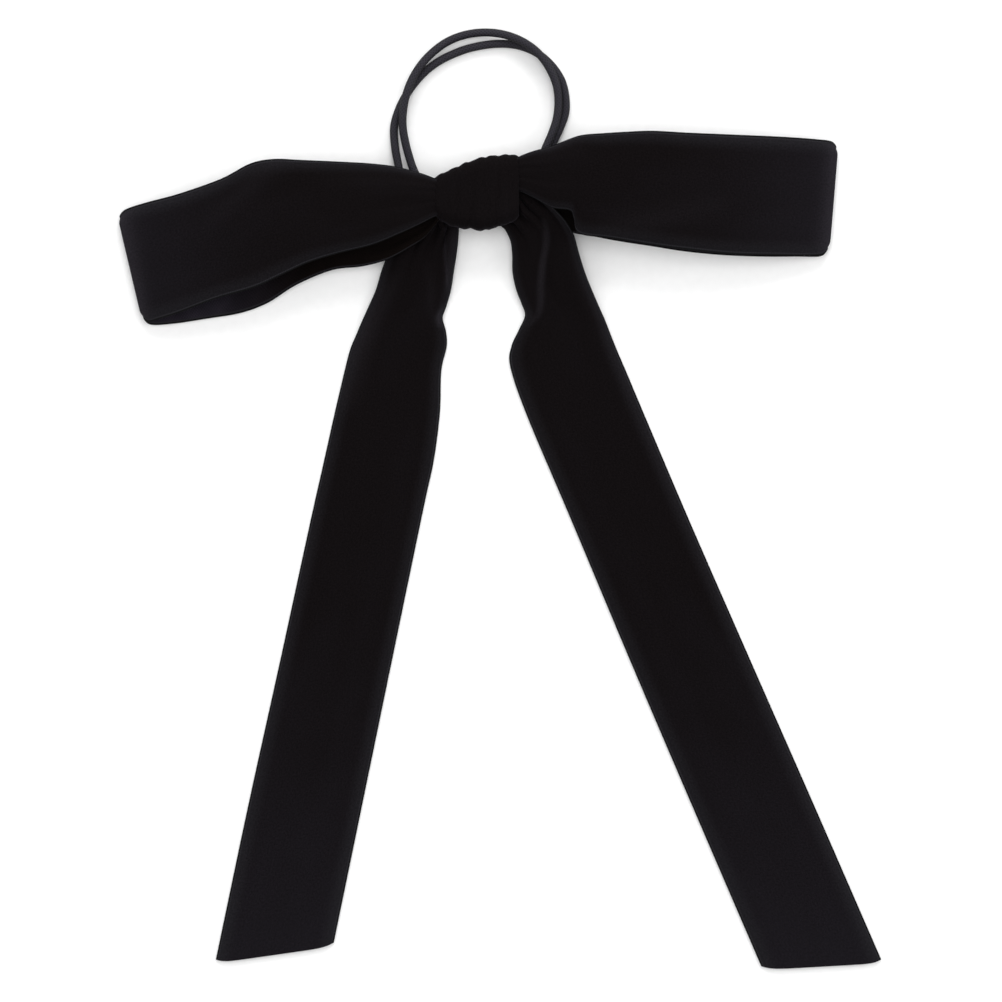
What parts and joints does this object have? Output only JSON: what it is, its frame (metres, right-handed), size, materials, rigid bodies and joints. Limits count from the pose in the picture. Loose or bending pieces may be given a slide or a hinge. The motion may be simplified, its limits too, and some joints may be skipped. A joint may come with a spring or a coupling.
{
  "type": "hair bow",
  "caption": "Black velvet ribbon hair bow with flat loops, a gathered knot and long slant-cut tails, on a doubled elastic hair tie",
  "frame": {"origin": "middle of the flat back of the knot, on the plane that the bow lies on, where a clip or comb is glued", "axes": "+X to the right along the loops, seen from the front; +Y up towards the elastic, with the tails towards -Y; +Z out of the front of the bow"},
  "size_m": [0.2248, 0.2782, 0.014],
  "materials": {
    "velvet": "black cut-pile velvet ribbon on a woven backing",
    "elastic": "braided cover over a rubber core",
    "thread": "twisted polyester sewing thread",
    "ferrule": "crimped metal, hidden inside the knot"
  },
  "bodies": {
    "knot": {"knot_band": "velvet", "band_stitches": "thread", "binding_thread": "thread", "keeper_stitches": "thread", "loop_pinch": "velvet", "tail_pinch": "velvet"},
    "left_loop": {"left_loop": "velvet"},
    "right_loop": {"right_loop": "velvet"},
    "left_neck": {"left_tail_neck": "velvet"},
    "left_tail": {"left_tail": "velvet"},
    "right_neck": {"right_tail_neck": "velvet"},
    "right_tail": {"right_tail": "velvet"},
    "elastic": {"elastic_cord": "elastic", "elastic_ferrule": "ferrule"}
  },
  "joints": [
    {"name": "elastic_swing", "type": "hinge", "parent": "knot", "child": "elastic", "pos_m": [0, -0.0025, 0.00415], "axis": [-1, 0, 0], "range_deg": [0, 90]},
    {"name": "left_loop_lift", "type": "hinge", "parent": "knot", "child": "left_loop", "pos_m": [-0.0129, -0.0015, 0.0115], "axis": [0, 1, 0], "range_deg": [0, 60]},
    {"name": "right_loop_lift", "type": "hinge", "parent": "knot", "child": "right_loop", "pos_m": [0.0126, 0.005, 0.0115], "axis": [0, -1, 0], "range_deg": [0, 60]},
    {"name": "left_tail_swing", "type": "hinge", "parent": "knot", "child": "left_neck", "pos_m": [-0.01, -0.005, 0.002], "axis": [0, 0, -1], "range_deg": [-12, 12]},
    {"name": "left_tail_fold", "type": "hinge", "parent": "left_neck", "child": "left_tail", "pos_m": [-0.0226, -0.0376, 0.0013], "axis": [-1, 0, 0], "range_deg": [0, 75]},
    {"name": "right_tail_swing", "type": "hinge", "parent": "knot", "child": "right_neck", "pos_m": [0.01, -0.005, 0.002], "axis": [0, 0, 1], "range_deg": [-12, 8]},
    {"name": "right_tail_fold", "type": "hinge", "parent": "right_neck", "child": "right_tail", "pos_m": [0.0257, -0.0368, 0.0013], "axis": [-1, 0, 0], "range_deg": [0, 75]}
  ]
}
